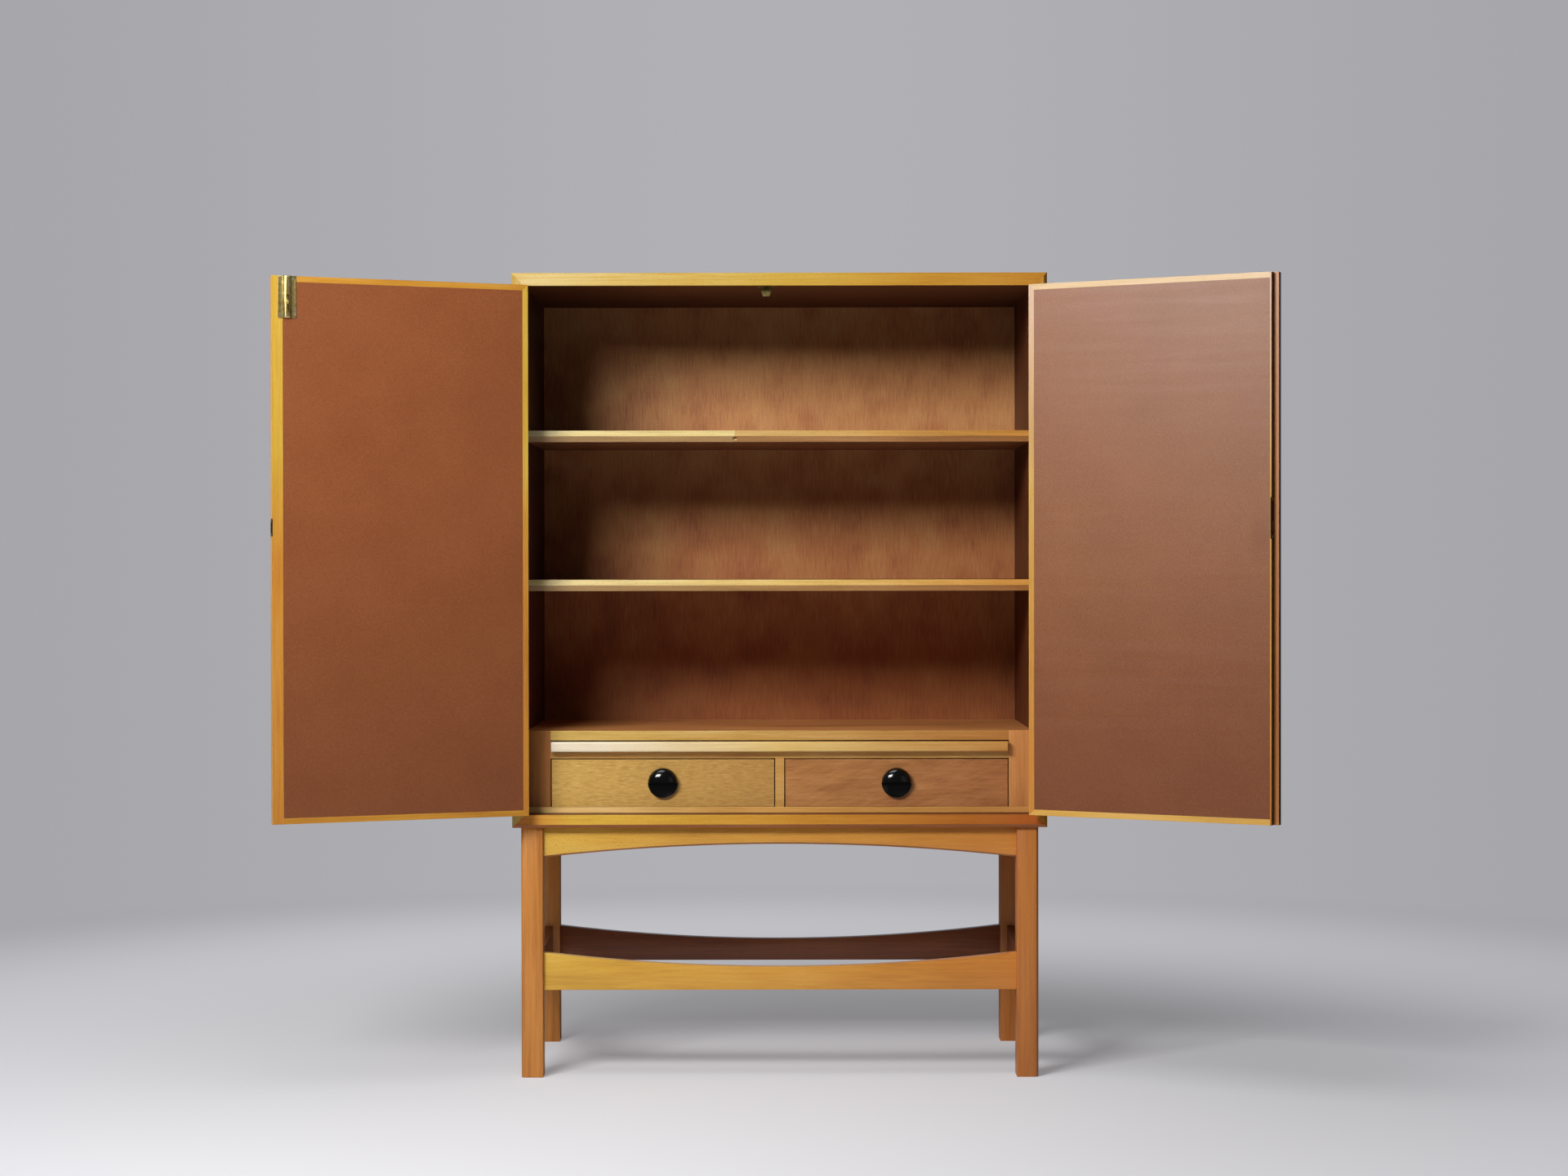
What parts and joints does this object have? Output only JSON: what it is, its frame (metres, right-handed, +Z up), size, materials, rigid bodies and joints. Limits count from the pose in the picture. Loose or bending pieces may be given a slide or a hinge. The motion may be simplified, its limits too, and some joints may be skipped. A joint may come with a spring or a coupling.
{
  "type": "storage cabinet",
  "caption": "Wooden storage cabinet on a four-legged stand, with two hinged doors, fixed shelves, a pull-out shelf and drawers with round cup knobs.",
  "frame": {"origin": "on the floor, on the cabinet's centre plane, midway front to back of the box it fills as it stands with both doors open", "axes": "+Z up, +X towards the viewer's right along the front, +Y towards the back; the front faces -Y"},
  "size_m": [1.8616, 0.7399, 1.55],
  "materials": {
    "amber_beech": "satin varnish",
    "amber_mahogany": "satin varnish",
    "veneer_carcass": "satin varnish",
    "drawer_wood": "waxed",
    "hardboard": "smooth, varnished",
    "aged_brass": "aged",
    "screw_brass": "aged",
    "screw_steel": "satin",
    "lock_steel": "satin",
    "black_bakelite": "polished"
  },
  "bodies": {
    "cabinet": {"front_left_leg": "amber_mahogany", "front_right_leg": "amber_mahogany", "back_left_leg": "amber_mahogany", "back_right_leg": "amber_mahogany", "front_apron": "amber_beech", "back_apron": "amber_beech", "left_apron": "amber_beech", "right_apron": "amber_beech", "front_stretcher": "amber_beech", "back_stretcher": "amber_beech", "left_stretcher": "amber_beech", "right_stretcher": "amber_beech", "corner_blocks": "amber_beech", "stand_screws": "screw_steel", "carcass_top": "veneer_carcass", "carcass_bottom": "veneer_carcass", "left_side": "veneer_carcass", "right_side": "veneer_carcass", "back_panel": "veneer_carcass", "carcass_screws": "screw_brass", "upper_shelf": "veneer_carcass", "lower_shelf": "veneer_carcass", "deck": "veneer_carcass", "drawer_stiles": "amber_mahogany", "slide_rail": "amber_beech", "bottom_rail": "amber_beech", "drawer_divider": "amber_beech", "drawer_runners": "drawer_wood", "slide_runners": "drawer_wood", "carcass_hinge_leaves": "aged_brass", "hinge_pins": "aged_brass", "bolt_keeper": "aged_brass"},
    "left_door": {"left_door_core": "veneer_carcass", "left_door_lippings": "amber_beech", "left_door_facing": "hardboard", "left_door_hinge_leaves": "aged_brass", "left_door_screws": "screw_brass", "bolt_case": "aged_brass", "lock_strike": "lock_steel"},
    "right_door": {"right_door_core": "veneer_carcass", "right_door_lippings": "amber_beech", "right_door_facing": "hardboard", "right_door_hinge_leaves": "aged_brass", "right_door_screws": "screw_brass", "lock_case": "lock_steel", "escutcheon": "aged_brass"},
    "left_drawer": {"left_drawer_front": "veneer_carcass", "left_drawer_box": "drawer_wood", "left_drawer_bottom": "drawer_wood", "left_knob": "black_bakelite", "left_knob_screw": "screw_steel"},
    "right_drawer": {"right_drawer_front": "veneer_carcass", "right_drawer_box": "drawer_wood", "right_drawer_bottom": "drawer_wood", "right_knob": "black_bakelite", "right_knob_screw": "screw_steel"},
    "pull_out": {"pull_out_shelf": "veneer_carcass", "pull_out_lip": "amber_beech"},
    "door_bolt": {"bolt_bar": "aged_brass"},
    "lock_tongue": {"lock_bolt": "lock_steel"}
  },
  "joints": [
    {"name": "left_door_hinge", "type": "hinge", "parent": "cabinet", "child": "left_door", "pos_m": [-0.48925, -0.1143, 1.0165], "axis": [0, 0, -1], "range_deg": [-158, 17]},
    {"name": "right_door_hinge", "type": "hinge", "parent": "cabinet", "child": "right_door", "pos_m": [0.48925, -0.1143, 1.0165], "axis": [0, 0, 1], "range_deg": [-151.5, 23.5]},
    {"name": "left_drawer_slide", "type": "slide", "parent": "cabinet", "child": "left_drawer", "axis": [0, -1, 0], "range_m": [0, 0.3]},
    {"name": "right_drawer_slide", "type": "slide", "parent": "cabinet", "child": "right_drawer", "axis": [0, -1, 0], "range_m": [0, 0.3]},
    {"name": "shelf_slide", "type": "slide", "parent": "cabinet", "child": "pull_out", "axis": [0, -1, 0], "range_m": [0, 0.28]},
    {"name": "door_bolt_slide", "type": "slide", "parent": "left_door", "child": "door_bolt", "axis": [0, 0, 1], "range_m": [0, 0.012]},
    {"name": "lock_throw", "type": "slide", "parent": "right_door", "child": "lock_tongue", "axis": [0.8788, -0.4772, 0], "range_m": [0, 0.007]}
  ]
}
